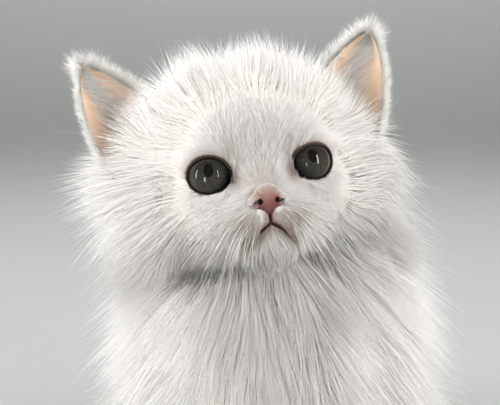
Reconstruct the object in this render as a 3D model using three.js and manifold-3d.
// A white Persian kitten about seven weeks old, life size, sitting with its head raised and tilted.
// Millimetres, +Z up, and the kitten faces -Y. Left and right are its own, so its left side is at +X.
// Each part of the body is flesh, made of blended lumps, under a coat. Its node holds the flesh with the
// lower share of the coat as one core, and the rest of the coat as flat, tapered locks that grow from it.
import * as THREE from "three";
import { mergeVertices } from "three/addons/utils/BufferGeometryUtils.js";
import Module from "manifold-3d";

const wasm = await Module();
wasm.setup();

// Driving sizes
const GAP = 0.3; // between neighbouring nodes
const CORE_SHARE = 0.42; // how far up the coat a core reaches
const SEED = 12;

const HEAD_AT = [-7, -16, 120]; // the middle of the head, on the line of the eyes
const HEAD_TURN = { pitch: -8, roll: -7, yaw: 9 }; // degrees: looks up, leans to its right, turns to its left

const EYE_SPACING = 30.5;
const EYE_RADIUS = 7.4;
const EYE_SINK = 4.2; // the eyeball's middle lies this far behind the face
const EYE_OUT = 13; // degrees that each eye looks outwards
const EYE_OPENING = { width: 11.7, height: 10, corner: 0.9, corner_turn: 0.45 };
const LID_DROOP = 0.75; // how much lower the left eye's upper lid is
const LID_RADIUS = 1.05;
const CORNEA = { bulge: 0.7, from: 0.72, to: 0.95 }; // cosines from the gaze between which it rises
const EYE_CROWDING = 0.4; // draws the points of an eye's mesh towards its gaze

const MUZZLE_ASIDE = -1.1; // how far the nose, pads, mouth and chin lie from the middle of the eyes
const NOSTRIL_APART = 5.2;
const MOUTH_GROOVE = { half_width: 0.4, half_depth: 1.5 };
const LIP_RADIUS = 1.3;

const EAR = { half_width: 12.5, half_depth: 6.5, tip_half_width: 1.1, rim: 1.3, cup: 2.6, twist: -18 };
const EAR_ROOT = [31, 5, 9.5]; // of the left ear, in the head
const EAR_TIP = [45.5, 5, 39];

const TAIL_RADIUS = 5; // of the flesh, at the root
const TAIL_COAT = 12;
const TAIL_CUTS = [0, 0.38, 0.7, 1]; // shares of its length
const TAIL_FLAT = 0.5; // how far its core is pressed flat on the floor

// Steps of the meshes
const LOCK_SIDES = 3;
const LOCK_STEPS = 3;
const LOCK_SINK = 3.5; // how far a lock's root is sunk in its core
const LOCK_TURN = 0.2; // radians that a lock may turn aside from the lie of the coat
const LOCK_ROOM = 1.5; // between a neighbour's core and the middle line of a lock
const LIFTS = [1, 1.4, 1.9, 2.5]; // a lock stands off more steeply where it would run into a neighbour
const FLOOR_CLEAR = 2.2; // the least height of a lock's tip over the floor
const FAR = 90; // longer than any ray from a part's middle to its surface
const HALVINGS = 26;

// Vectors and numbers
const vec = (x, y, z) => new THREE.Vector3(x, y, z);
const { degToRad, lerp, smoothstep, clamp, seededRandom } = THREE.MathUtils;
const X_AXIS = vec(1, 0, 0);
const draw = (low, high) => lerp(low, high, seededRandom());
const sum = (...vectors) => vectors.reduce((total, v) => total.add(v), vec(0, 0, 0));
const times = (v, k) => v.clone().multiplyScalar(k);

// Meshes to solids and back
function weld(geometry) {
  const bare = geometry.clone();
  for (const name of Object.keys(bare.attributes)) {
    if (name !== "position") bare.deleteAttribute(name);
  }
  return mergeVertices(bare, 1e-4);
}

function reshape(geometry, move) {
  const positions = geometry.attributes.position;
  const point = vec(0, 0, 0);
  for (let i = 0; i < positions.count; i += 1) {
    const moved = move(point.fromBufferAttribute(positions, i));
    positions.setXYZ(i, moved.x, moved.y, moved.z);
  }
  return geometry;
}

// A closed mesh as a solid, with its faces turned out
function solid(geometry, matrix = new THREE.Matrix4()) {
  const placed = geometry.clone().applyMatrix4(matrix);
  const vertProperties = new Float32Array(placed.attributes.position.array);
  const triVerts = new Uint32Array(placed.index.array);
  const made = new wasm.Manifold(new wasm.Mesh({ numProp: 3, vertProperties, triVerts }));
  if (made.volume() > 0) return made;
  return new wasm.Manifold(new wasm.Mesh({ numProp: 3, vertProperties, triVerts: triVerts.reverse() }));
}

const joined = (solids) => wasm.Manifold.union(solids);

// The largest closed body of a solid, without the scraps that a cut leaves
function largest(whole) {
  return whole.decompose().reduce((best, piece) => (piece.volume() > best.volume() ? piece : best));
}

function geometryOf(whole) {
  const mesh = largest(whole).getMesh();
  return new THREE.BufferGeometry()
    .setAttribute("position", new THREE.BufferAttribute(new Float32Array(mesh.vertProperties), 3))
    .setIndex(new THREE.BufferAttribute(new Uint32Array(mesh.triVerts), 1));
}

// A closed tube through sections, each a middle and two half axes, made from a capped cylinder
function loft(sections, sides) {
  const tube = weld(new THREE.CylinderGeometry(1, 1, 1, sides, sections.length - 1));
  return reshape(tube, (v) => {
    const { middle, across, over } = sections[Math.round((0.5 - v.y) * (sections.length - 1))];
    return sum(middle, times(across, v.x), times(over, v.z));
  });
}

// Flesh: lumps are ellipsoids by their middle and radii, blended where they meet
const lump = (x, y, z, rx, ry, rz, lean = 0) => ({ at: vec(x, y, z), radii: vec(rx, ry, rz), lean });
const lumps = (x, ...rest) => [lump(x, ...rest), lump(-x, ...rest)];
const aside = (list) => list.map((part) => ({ ...part, at: part.at.clone().setX(part.at.x + MUZZLE_ASIDE) }));

function lumpDistance(point, { at, radii, lean }) {
  const q = point.clone().sub(at).applyAxisAngle(X_AXIS, degToRad(-lean)).divide(radii);
  const length = q.length();
  const slope = q.divide(radii).length();
  return slope > 1e-9 ? (length * (length - 1)) / slope : -radii.x;
}

function skinDistance(point, flesh) {
  const total = flesh.lumps.reduce((t, part) => t + Math.exp(-lumpDistance(point, part) / flesh.blend), 0);
  return -flesh.blend * Math.log(total);
}

// The height over the skin of a node's core, plus room for a gap
const rise = (point, flesh, grow) => {
  const way = point.clone().sub(flesh.middle).normalize();
  return CORE_SHARE * flesh.coat(way) + grow;
};

function outwards(point, flesh) {
  const step = 0.05;
  const here = skinDistance(point, flesh);
  const slope = [vec(step, 0, 0), vec(0, step, 0), vec(0, 0, step)].map(
    (move) => skinDistance(sum(point, move), flesh) - here,
  );
  return vec(...slope).normalize();
}

function surfaceAlong(flesh, way, grow = 0) {
  let near = 0;
  let far = FAR;
  for (let i = 0; i < HALVINGS; i += 1) {
    const middle = (near + far) / 2;
    const point = sum(flesh.middle, times(way, middle));
    if (skinDistance(point, flesh) < rise(point, flesh, grow)) near = middle;
    else far = middle;
  }
  return sum(flesh.middle, times(way, near));
}

// The first point of the face that a line along +Y meets
function faceAt(flesh, x, z) {
  const inside = (y) => {
    const point = vec(x, y, z);
    return skinDistance(point, flesh) < rise(point, flesh, 0);
  };
  let y = -FAR;
  while (!inside(y) && y < 0) y += 0.25;
  return vec(x, y, z);
}

// A core's mesh: a ball whose points are drawn out to the surface, closer together towards flesh.focus
function coreMesh(flesh, grow = 0) {
  const ball = weld(new THREE.IcosahedronGeometry(1, flesh.detail));
  const focus = flesh.focus ?? vec(0, 0, 0);
  return reshape(ball, (v) => surfaceAlong(flesh, sum(v, focus).normalize(), grow));
}

// Locks of hair: a three-sided cone, flat below and ridged above, bent from the way it leaves the skin
// to the way it lies
const lockWidth = (s) => (1 - s ** 2.4) * (0.72 + 0.55 * s);
const lockThickness = (s) => (1 - s) ** 0.75;

function lockSolid(lock, grow = 0, matrix = undefined) {
  const length = lock.length + LOCK_SINK;
  const start = sum(lock.root, times(lock.leave, -LOCK_SINK));
  const cone = weld(new THREE.ConeGeometry(1, 1, LOCK_SIDES, LOCK_STEPS));
  // The corners of a flat section move further than its faces
  const outset = { side: 5 * grow, over: 2 * grow };
  const bent = reshape(cone, (v) => {
    const s = v.y + 0.5;
    const narrowing = Math.max(1 - s, 1e-6);
    const end = Math.round(2 * s - 1); // -1 at the root, 1 at the tip
    const along = sum(times(lock.leave, 1 - s), times(lock.lie, s)).normalize();
    const over = lock.across.clone().cross(along).normalize();
    return sum(
      start,
      times(lock.leave, length * (s - (s * s) / 2)),
      times(lock.lie, (length * s * s) / 2),
      times(along, end * outset.over),
      times(lock.across, lock.wave * Math.sin(Math.PI * s)),
      times(lock.across, (v.x / narrowing) * ((lock.width / 2) * lockWidth(s) + outset.side)),
      times(over, (v.z / narrowing) * ((lock.thickness / 2) * lockThickness(s) + outset.over)),
    );
  });
  return solid(bent, matrix);
}

// A lock from a root on a core, whose tip stands rise over that core
function lockFrom({ root, normal, flow, rise, lift, width, floor = undefined }) {
  const lying = sum(flow, times(normal, -flow.dot(normal))).normalize();
  lying.applyAxisAngle(normal, draw(-LOCK_TURN, LOCK_TURN));
  const raised = lift * draw(0.85, 1.15);
  const leave = sum(times(normal, raised), times(lying, 1 - 0.5 * raised)).normalize();
  const lie = sum(times(normal, 0.35 * raised), lying).normalize();
  const length = (rise / Math.max((leave.dot(normal) + lie.dot(normal)) / 2, 0.35)) * draw(0.9, 1.12);
  if (floor !== undefined) {
    while (root.z + (length * (leave.z + lie.z)) / 2 < floor && lie.z < 0.9) {
      lie.setZ(lie.z + 0.1).normalize();
    }
  }
  return {
    root,
    leave,
    lie,
    length,
    across: lying.clone().cross(normal).normalize(),
    width: width * draw(0.85, 1.15),
    thickness: clamp(width * 0.28, 1.4, 3.6),
    wave: draw(-0.08, 0.08) * width,
  };
}

// Points of a lock's middle line, past its root
const spots = ({ root, length, leave, lie }) =>
  [0.35, 0.65, 1].map((s) =>
    sum(root, times(leave, length * (s - (s * s) / 2)), times(lie, (length * s * s) / 2)),
  );

// Whether a point lies in the core of a flesh, or closer to it than a lock is thick
const within = (flesh) => (point) => skinDistance(point, flesh) < rise(point, flesh, LOCK_ROOM);

// Whether a point lies well under the coat of a flesh
const underCoat = (flesh) => (point) =>
  skinDistance(point, flesh) < 0.6 * flesh.coat(point.clone().sub(flesh.middle).normalize());

// Rows of locks round an axis, each row [degrees from the axis, how many], every second row staggered.
// None roots where the flesh is bare or covered, or runs into a part beside it.
function rowsOfLocks(flesh) {
  const { axis, rows, flow, lift, width, covered, beside, bare = () => false } = flesh.growth;
  const first = Math.abs(axis.z) < 0.9 ? vec(0, 0, 1) : vec(0, 1, 0);
  const side = first.cross(axis).normalize();
  const locks = [];
  rows.forEach(([angle, count], row) => {
    for (let i = 0; i < count; i += 1) {
      const turn = ((i + (row % 2) / 2 + draw(-0.18, 0.18)) / count) * 2 * Math.PI;
      const way = axis.clone().applyAxisAngle(side, degToRad(angle + draw(-4, 4)));
      way.applyAxisAngle(axis, turn);
      const root = surfaceAlong(flesh, way);
      if (bare(way) || covered(root)) continue;
      const depth = flesh.coat(way);
      const lock = LIFTS.map((steeper) =>
        lockFrom({
          root,
          normal: outwards(root, flesh),
          flow: flow(way),
          rise: (1 - CORE_SHARE) * depth,
          lift: lift * steeper,
          width: clamp(depth * width, 4.5, 14),
          floor: flesh.on_floor ? FLOOR_CLEAR : undefined,
        }),
      ).find((tried) => !spots(tried).some(beside));
      if (lock) locks.push(lock);
    }
  });
  return locks;
}

// A node's solid: its core with its locks
function furry(flesh) {
  return joined([solid(coreMesh(flesh)), ...(flesh.locks ?? []).map((lock) => lockSolid(lock))]);
}

// The same, grown by the gap, to cut a neighbour clear
function clearance(flesh, matrix = undefined) {
  const core = solid(coreMesh(flesh, GAP), matrix);
  return joined([core, ...(flesh.locks ?? []).map((lock) => lockSolid(lock, GAP, matrix))]);
}

// The head, in its own frame: the face looks along -Y and the eyes lie at z = 0
const head = {
  middle: vec(0, 0, -1),
  blend: 2.2,
  detail: 7,
  focus: vec(0, -0.45, -0.06),
  lumps: [
    lump(0, 3, 3.5, 28, 26.5, 22), // skull
    lump(0, -13, 8, 17, 11, 10), // forehead
    ...lumps(16, -9.5, -8, 12.5, 13, 11), // cheeks
    ...aside([
      lump(0, -23, -5.5, 5.5, 7, 5.5), // bridge of the nose
      ...lumps(5, -25.5, -13.2, 6.4, 6.6, 5.4), // whisker pads
      lump(0, -24, -19, 6, 6.4, 4.6), // chin
    ]),
  ],
  coat: (way) => {
    const low = 1 - smoothstep(way.z, -0.05, 0.5);
    const face = smoothstep(-way.y, lerp(0.22, 0.42, low), lerp(0.82, 0.8, low));
    const chin = smoothstep(-way.z, 0.45, 0.8) * smoothstep(-way.y, 0, 0.5);
    const cheek = smoothstep(Math.abs(way.x), 0.45, 0.9) * smoothstep(-way.z, -0.5, 0.2);
    const full = lerp(lerp(15, 22, low), 31, cheek);
    return lerp(lerp(full, 9, chin), 1.6, face);
  },
};

// The neck, with the ruff that falls over the chest
const neck = {
  middle: vec(-2, -1, 90),
  blend: 4,
  detail: 3,
  lumps: [lump(-3, -4, 98, 19, 19, 15), lump(-1, 1, 86, 23, 21, 14)],
  coat: (way) => lerp(28, 15, smoothstep(way.y, 0.2, 0.9)),
};

// The torso: chest, shoulders, belly, back and rump
const torso = {
  middle: vec(0, 12, 48),
  blend: 5,
  detail: 5,
  on_floor: true,
  lumps: [
    lump(0, -3, 66, 23, 22, 29), // chest
    ...lumps(16, -4, 66, 12, 17, 24), // shoulders
    lump(0, 18, 58, 21, 21, 27), // back
    lump(0, 24, 36, 25, 28, 28), // belly
    lump(0, 40, 26.5, 24, 22, 25), // rump
  ],
  coat: (way) =>
    lerp(lerp(27 + 2 * way.x, 17, smoothstep(way.y, 0.1, 0.8)), 5, smoothstep(-way.z, 0.35, 0.8)),
};

const foreleg = (side) => ({
  middle: vec(side * 13, -22, 36),
  blend: 3,
  detail: 2,
  lumps: [lump(side * 13.5, -18, 46, 8.5, 10, 16), lump(side * 13, -25, 22, 6.8, 7, 18)],
  coat: () => 6,
});

const toes = (x, y, z, spread, radius) =>
  [-1.5, -0.5, 0.5, 1.5].map((place) =>
    lump(x + place * spread, y + Math.abs(place) * 1.4, z, radius, radius * 1.35, radius * 1.2),
  );

const forepaw = (side) => ({
  middle: vec(side * 13, -31, 7),
  blend: 1.2,
  detail: 3,
  on_floor: true,
  lumps: [lump(side * 13, -29, 7, 8, 10, 7.2), ...toes(side * 13, -38, 5, 4.1, 2.9)],
  coat: () => 2,
});

const thigh = (side) => ({
  middle: vec(side * 26, 25, 25),
  blend: 4,
  detail: 3,
  on_floor: true,
  lumps: [lump(side * 26, 26, 26, 12, 26, 23, -15), lump(side * 28, 8, 14, 9, 14, 13)],
  coat: (way) => lerp(12, 4, smoothstep(-way.z, 0.3, 0.8)),
});

const hindpaw = (side) => ({
  middle: vec(side * 29, -4, 6.5),
  blend: 1.2,
  detail: 2,
  focus: vec(0, -0.3, 0),
  on_floor: true,
  lumps: [lump(side * 29, -2, 6.2, 8, 18, 6.6), ...toes(side * 29, -18, 5, 4.1, 2.9)],
  coat: () => 2.2,
});

const headGroup = new THREE.Group();
headGroup.position.set(...HEAD_AT);
headGroup.rotation.set(
  degToRad(HEAD_TURN.pitch),
  degToRad(HEAD_TURN.roll),
  degToRad(HEAD_TURN.yaw),
  "ZXY",
);
headGroup.updateMatrixWorld(true);

// Where each ear stands, from its root in the skull to its tip
function earFrame(side) {
  const root = vec(side * EAR_ROOT[0], EAR_ROOT[1], EAR_ROOT[2]);
  const tip = vec(side * EAR_TIP[0], EAR_TIP[1], EAR_TIP[2]);
  const along = tip.clone().sub(root).normalize();
  const across = vec(along.z, 0, -along.x).applyAxisAngle(along, degToRad(EAR.twist) * side);
  const back = along.clone().cross(across).normalize();
  return { root, along, across, back, length: root.distanceTo(tip), side };
}

// The coat's growth: where the locks of each part root, how they flow and how far they stand off
seededRandom(SEED);
const toBody = (point) => point.clone().applyMatrix4(headGroup.matrixWorld);
const toHead = (point) => point.clone().applyMatrix4(headGroup.matrixWorld.clone().invert());
const forelegs = [1, -1].map(foreleg);
const forepaws = [1, -1].map(forepaw);
const thighs = [1, -1].map(thigh);
const hindpaws = [1, -1].map(hindpaw);
const inAny = (fleshes) => (point) => fleshes.some((flesh) => within(flesh)(point));

const ears = [1, -1].map(earFrame);
const byAnEar = (point) =>
  ears.some(({ root, along, length }) => {
    const t = clamp(point.clone().sub(root).dot(along), 0, length);
    return point.distanceTo(sum(root, times(along, t))) < 0.75 * EAR.half_width;
  });

head.growth = {
  axis: vec(0, -1, 0),
  rows: [[57, 14], [74, 17], [92, 16], [113, 12], [138, 8], [162, 3]],
  flow: (way) => vec(way.x, 0.9, way.z - 0.15),
  lift: 0.52,
  width: 0.75,
  covered: (point) => byAnEar(point) || inAny([neck])(toBody(point)),
  beside: (point) => byAnEar(point) || inAny([neck, torso])(toBody(point)),
};
neck.growth = {
  axis: vec(0, 0, 1),
  rows: [[76, 13], [96, 16], [116, 14]],
  flow: (way) => vec(0.3 * way.x, 0.2 * way.y, -1),
  lift: 0.55,
  width: 0.58,
  covered: (point) => inAny([head])(toHead(point)),
  beside: inAny([torso]),
};
torso.growth = {
  axis: vec(0, 0, 1),
  rows: [[52, 10], [68, 13], [86, 14], [105, 14], [124, 10]],
  flow: (way) => vec(0.15 * way.x, 0.35, -1),
  lift: 0.48,
  width: 0.7,
  covered: underCoat(neck),
  beside: inAny([...forelegs, ...thighs, ...hindpaws]),
};
thighs.forEach((flesh, i) => {
  flesh.growth = {
    axis: vec(i === 0 ? 1 : -1, 0, 0),
    rows: [[26, 4], [54, 7]],
    flow: () => vec(0, 0.55, -0.7),
    lift: 0.45,
    width: 0.95,
    covered: inAny([torso]),
    beside: inAny([torso, hindpaws[i]]),
    bare: (way) => way.z < -0.45,
  };
});
forelegs.forEach((flesh, i) => {
  flesh.growth = {
    axis: vec(0, 0, 1),
    rows: [[95, 4], [128, 4]],
    flow: () => vec(0, 0.3, -1),
    lift: 0.4,
    width: 1.2,
    covered: inAny([torso]),
    beside: inAny([torso, forepaws[i]]),
  };
});
[head, neck, torso, ...thighs, ...forelegs].forEach((flesh) => {
  flesh.locks = rowsOfLocks(flesh);
});

// The eyes: each a ball with a bulging cornea, set in the face, and its opening as a rim on the ball
function eyeFrame(side) {
  const face = faceAt(head, (side * EYE_SPACING) / 2, 0);
  const out = degToRad(EYE_OUT) * side;
  const gaze = vec(Math.sin(out), -Math.cos(out), 0);
  return {
    middle: sum(face, times(gaze, -EYE_SINK)),
    gaze,
    across: vec(Math.cos(out), Math.sin(out), 0),
    up: vec(0, 0, 1),
    side,
  };
}

function eyeMesh(eye, grow = 0) {
  const ball = weld(new THREE.IcosahedronGeometry(1, 2));
  return reshape(ball, (v) => {
    const way = sum(v, times(eye.gaze, EYE_CROWDING)).normalize();
    const cornea = CORNEA.bulge * smoothstep(way.dot(eye.gaze), CORNEA.from, CORNEA.to);
    return sum(eye.middle, times(way, EYE_RADIUS + cornea + grow));
  });
}

// The eye's opening at a turn about the gaze: an oval with a drawn-out inner corner. The left eye's upper
// lid hangs a little lower than the right one's.
function openingRadius(eye, turn) {
  const { width, height, corner, corner_turn } = EYE_OPENING;
  const wide = width / 2;
  const droop = eye.side > 0 ? LID_DROOP * smoothstep(Math.sin(turn), -0.2, 0.9) : 0;
  const high = height / 2 - droop;
  const oval = (wide * high) / Math.hypot(high * Math.cos(turn), wide * Math.sin(turn));
  const inner = eye.side > 0 ? Math.PI + corner_turn : -corner_turn;
  const off = Math.atan2(Math.sin(turn - inner), Math.cos(turn - inner));
  return oval + corner * Math.exp(-((off / 0.35) ** 2));
}

function lidRing(eye) {
  const ring = weld(new THREE.TorusGeometry(1, LID_RADIUS, 5, 18));
  return reshape(ring, (v) => {
    const turn = Math.atan2(v.y, v.x);
    const radius = Math.min(openingRadius(eye, turn), EYE_RADIUS - 0.1);
    const depth = Math.sqrt(EYE_RADIUS ** 2 - radius ** 2);
    const spoke = sum(times(eye.across, Math.cos(turn)), times(eye.up, Math.sin(turn)));
    return sum(
      eye.middle,
      times(spoke, radius + LID_RADIUS * 0.8 + Math.hypot(v.x, v.y) - 1),
      times(eye.gaze, depth + v.z),
    );
  });
}

function openingCutter(eye) {
  const tube = weld(new THREE.CylinderGeometry(1, 1, 1, 18, 1));
  return reshape(tube, (v) => {
    const far = v.y > 0;
    const radius = Math.hypot(v.x, v.z) * openingRadius(eye, Math.atan2(-v.z, v.x)) * (far ? 1.5 : 0.8);
    const spoke = Math.hypot(v.x, v.z) > 0 ? vec(v.x, 0, v.z).normalize() : vec(0, 0, 0);
    return sum(
      eye.middle,
      times(eye.across, spoke.x * radius),
      times(eye.up, -spoke.z * radius),
      times(eye.gaze, far ? 14 : 2),
    );
  });
}

// The nose leather, with a nostril on each side that runs out as a slit
const noseAt = faceAt(head, MUZZLE_ASIDE, -8.6);
const nose = {
  middle: noseAt,
  blend: 0.7,
  detail: 3,
  lumps: aside([
    lump(0, noseAt.y + 0.6, -7.8, 3.5, 2.9, 3.3),
    ...lumps(3.4, noseAt.y + 1.5, -9.4, 2.3, 2.6, 1.9),
    lump(0, noseAt.y + 0.9, -11.2, 1.7, 2.3, 2.1),
  ]),
  coat: () => 0,
};

function nostrilCutter(side) {
  const places = [0, 0.4, 0.75, 1];
  const sections = places.map((t) => {
    const x = MUZZLE_ASIDE + side * (NOSTRIL_APART / 2 - 0.7 + 3.9 * t);
    const size = lerp(0.85, 0.35, t);
    return {
      middle: vec(x, noseAt.y - 1.9 + 2.6 * t, -9.3 - 0.5 * Math.sin(Math.PI * t) + 0.6 * t),
      across: vec(0, 1.8, 0),
      over: vec(0, 0, size * side),
    };
  });
  return loft(sections, 6);
}

// The mouth: a line down from the nose that parts into two, cut between raised lips
const mouthLines = (side) => [
  [0, -12.6],
  [0, -15.4],
  [side * 2.6, -17.1],
  [side * 4.6, -18.7],
  [side * 6.6, -20.9],
];

function mouthTube(side, halfWidth, halfDepth, sink, sides) {
  const curve = new THREE.CatmullRomCurve3(
    mouthLines(side).map(([x, z]) => faceAt(head, MUZZLE_ASIDE + x, z)),
    false,
    "catmullrom",
    0.3,
  );
  const steps = 7;
  const sections = Array.from({ length: steps + 1 }, (_, i) => {
    const along = curve.getTangent(i / steps);
    const depth = vec(0, 1, 0);
    const across = along.clone().cross(depth).normalize();
    return {
      middle: sum(curve.getPoint(i / steps), vec(0, sink, 0)),
      across: times(across, halfWidth),
      over: times(across.clone().cross(along).normalize(), halfDepth),
    };
  });
  return loft(sections, sides);
}

// The ears: a leaf hollowed from the front
function earSections(ear, { from, to, steps, thinner = 0, forward = 0, deeper = 0 }) {
  return Array.from({ length: steps + 1 }, (_, i) => {
    const t = lerp(from, to, i / steps);
    const leaf = Math.max(1 - t ** 2, 0) ** 0.8;
    const halfWidth = Math.max(EAR.half_width * leaf - thinner, EAR.tip_half_width - thinner / 3);
    const halfDepth = EAR.half_depth * (1 - t) ** 0.8 + 1.1 + deeper;
    return {
      middle: sum(ear.root, times(ear.along, t * ear.length), times(ear.back, -forward)),
      across: times(ear.across, halfWidth),
      over: times(ear.back, halfDepth),
    };
  });
}

// Hair of an ear: a tuft on its tip, and locks that cross the cup from its inner edge
function earLocks(ear) {
  const inwards = times(ear.across, -ear.side);
  const tipTuft = [-0.4, 0.4].map((place) =>
    lockFrom({
      root: sum(ear.root, times(ear.along, ear.length * 0.93), times(ear.across, place * 1.2)),
      normal: times(ear.back, -1),
      flow: sum(ear.along, times(ear.across, place * 0.5)),
      rise: 1.6,
      lift: 0.3,
      width: 4,
    }),
  );
  const fringe = [0.46, 0.6].map((t) =>
    lockFrom({
      root: sum(
        ear.root,
        times(ear.along, ear.length * t),
        times(inwards, EAR.half_width * 0.8 * (1 - t * t)),
      ),
      normal: times(ear.back, -1),
      flow: sum(times(inwards, -0.7), ear.along),
      rise: 3.2,
      lift: 0.5,
      width: 4.6,
    }),
  );
  return [...tipTuft, ...fringe];
}

function earSolid(ear) {
  const leaf = solid(loft(earSections(ear, { from: 0, to: 1, steps: 7 }), 12));
  const cup = earSections(ear, {
    from: 0.2,
    to: 0.9,
    steps: 6,
    thinner: EAR.rim,
    forward: EAR.cup,
    deeper: 1.1,
  });
  return joined([leaf.subtract(solid(loft(cup, 10))), ...ear.locks.map((lock) => lockSolid(lock))]);
}

// The tail: lengths of one curve that leaves the rump and lies round the left side of the body
const tailCurve = new THREE.CatmullRomCurve3([
  vec(4, 52, 20),
  vec(16, 68, 13),
  vec(36, 72, 10),
  vec(53, 58, 10),
  vec(60, 36, 10),
  vec(59, 12, 10),
  vec(54, -8, 10),
]);

const tailCoat = (t) =>
  TAIL_COAT * Math.sqrt(clamp(1.02 - t ** 4, 0, 1)) * lerp(0.75, 1, smoothstep(t, 0, 0.3));
const tailCore = (t) => TAIL_RADIUS * (1 - 0.55 * t) + CORE_SHARE * tailCoat(t);

// Past its root the tail's middle is as high as its core rests on the floor
function tailMiddle(t) {
  const point = tailCurve.getPointAt(t);
  return point.setZ(lerp(point.z, tailCore(t) - TAIL_FLAT, smoothstep(t, 0, 0.25)));
}

function tailFrame(t) {
  const along = tailCurve.getTangentAt(t);
  const across = along.clone().cross(vec(0, 0, 1)).normalize();
  return { middle: tailMiddle(t), along, across, up: across.clone().cross(along).normalize() };
}

// Locks of one length of the tail, in rings that point to its tip, and a last ring on the tip itself
function tailLocks(from, to, covered) {
  const rings = 2;
  const around = 5;
  const locks = [];
  for (let ring = 0; ring < rings; ring += 1) {
    const t = lerp(from, to, (ring + 0.3) / rings);
    const { middle, along, across, up } = tailFrame(t);
    for (let i = 0; i < around; i += 1) {
      const turn = ((i + (ring % 2) / 2 + draw(-0.15, 0.15)) / around) * 2 * Math.PI;
      const normal = sum(times(across, Math.cos(turn)), times(up, Math.sin(turn)));
      const lock = lockFrom({
        root: sum(middle, times(normal, tailCore(t))),
        normal,
        flow: along,
        rise: (1 - CORE_SHARE) * tailCoat(t),
        lift: 0.5,
        width: 10,
        floor: FLOOR_CLEAR,
      });
      if (normal.z > -0.55 && !covered(lock.root) && !spots(lock).some(covered)) locks.push(lock);
    }
  }
  return locks;
}

function tailSolid(from, to, grow = 0) {
  const steps = 6;
  const inset = (GAP / 2 - grow) / tailCurve.getLength();
  const sections = Array.from({ length: steps + 1 }, (_, i) => {
    const t = lerp(from > 0 ? from + inset : from, to < 1 ? to - inset : to, i / steps);
    const { middle, across, up } = tailFrame(t);
    const radius = tailCore(t) + grow;
    return { middle, across: times(across, radius), over: times(up, radius) };
  });
  return solid(loft(sections, 10));
}

// Everything under the floor
const underFloor = () => solid(weld(new THREE.BoxGeometry(400, 400, 100).translate(0, 0, -50)));

// The nodes, in the order in which each is cut clear of those before it
const white = new THREE.MeshStandardMaterial({ color: 0xf3efe9, roughness: 0.95, metalness: 0 });
const earPink = new THREE.MeshStandardMaterial({ color: 0xf0ded2, roughness: 0.9, metalness: 0 });
const nosePink = new THREE.MeshStandardMaterial({ color: 0xd99a92, roughness: 0.5, metalness: 0 });
const eyeGrey = new THREE.MeshStandardMaterial({ color: 0x3c3b34, roughness: 0.08, metalness: 0 });

const cat = new THREE.Group();

function node(group, name, whole, material) {
  const mesh = new THREE.Mesh(geometryOf(whole), material);
  mesh.name = name;
  group.add(mesh);
  return mesh;
}

function makeHead() {
  const eyes = [1, -1].map(eyeFrame);
  const fill = [1, -1].map((side) => solid(mouthTube(side, LIP_RADIUS, LIP_RADIUS, 0.75, 6)));
  const grooves = [1, -1].map((side) =>
    solid(mouthTube(side, MOUTH_GROOVE.half_width, MOUTH_GROOVE.half_depth, 0, 4)),
  );
  const nostrils = [1, -1].map((side) => solid(nostrilCutter(side)));
  const whole = furry(head)
    .add(joined(fill))
    .subtract(joined(eyes.map((eye) => solid(openingCutter(eye)))))
    .add(joined(eyes.map((eye) => solid(lidRing(eye)))))
    .subtract(joined(eyes.map((eye) => solid(eyeMesh(eye, GAP)))))
    .subtract(joined(grooves))
    .subtract(solid(coreMesh(nose, GAP)));
  node(headGroup, "head", whole, white);
  node(headGroup, "nose", solid(coreMesh(nose)).subtract(joined(nostrils)), nosePink);
  eyes.forEach((eye) => {
    node(headGroup, eye.side > 0 ? "eye_left" : "eye_right", solid(eyeMesh(eye)), eyeGrey);
  });
  const clear = clearance(head);
  ears.forEach((ear) => {
    ear.locks = earLocks(ear);
    node(headGroup, ear.side > 0 ? "ear_left" : "ear_right", earSolid(ear).subtract(clear), earPink);
  });
}

function makeBody() {
  const taken = [clearance(head, headGroup.matrixWorld), underFloor()];
  const add = (name, flesh) => {
    node(cat, name, furry(flesh).subtract(joined(taken)), white);
    taken.push(clearance(flesh));
  };
  add("neck", neck);
  add("torso", torso);
  ["left", "right"].forEach((hand, i) => {
    add(`forepaw_${hand}`, forepaws[i]);
    add(`foreleg_${hand}`, forelegs[i]);
    add(`thigh_${hand}`, thighs[i]);
    add(`hindpaw_${hand}`, hindpaws[i]);
  });
  const covered = inAny([torso, ...thighs, ...hindpaws]);
  const names = ["tail_root", "tail_middle", "tail_tip"];
  const locks = names.map((_, i) => tailLocks(TAIL_CUTS[i], TAIL_CUTS[i + 1], covered));
  names.forEach((name, i) => {
    const coat = joined(locks[i].map((lock) => lockSolid(lock)));
    const others = names.flatMap((_, k) => {
      if (k === i) return [];
      const before = k < i ? locks[k].map((lock) => lockSolid(lock, GAP)) : [];
      return [tailSolid(TAIL_CUTS[k], TAIL_CUTS[k + 1], GAP), ...before];
    });
    const whole = tailSolid(TAIL_CUTS[i], TAIL_CUTS[i + 1]).add(coat.subtract(joined(others)));
    node(cat, name, whole.subtract(joined(taken)), white);
  });
}

makeHead();
makeBody();
cat.add(headGroup);

// The origin is on the floor, under the middle of the whole kitten
const reach = new THREE.Box3().setFromObject(cat, true);
const middle = reach.getCenter(vec(0, 0, 0));
cat.position.set(-middle.x, -middle.y, 0);

export default cat;
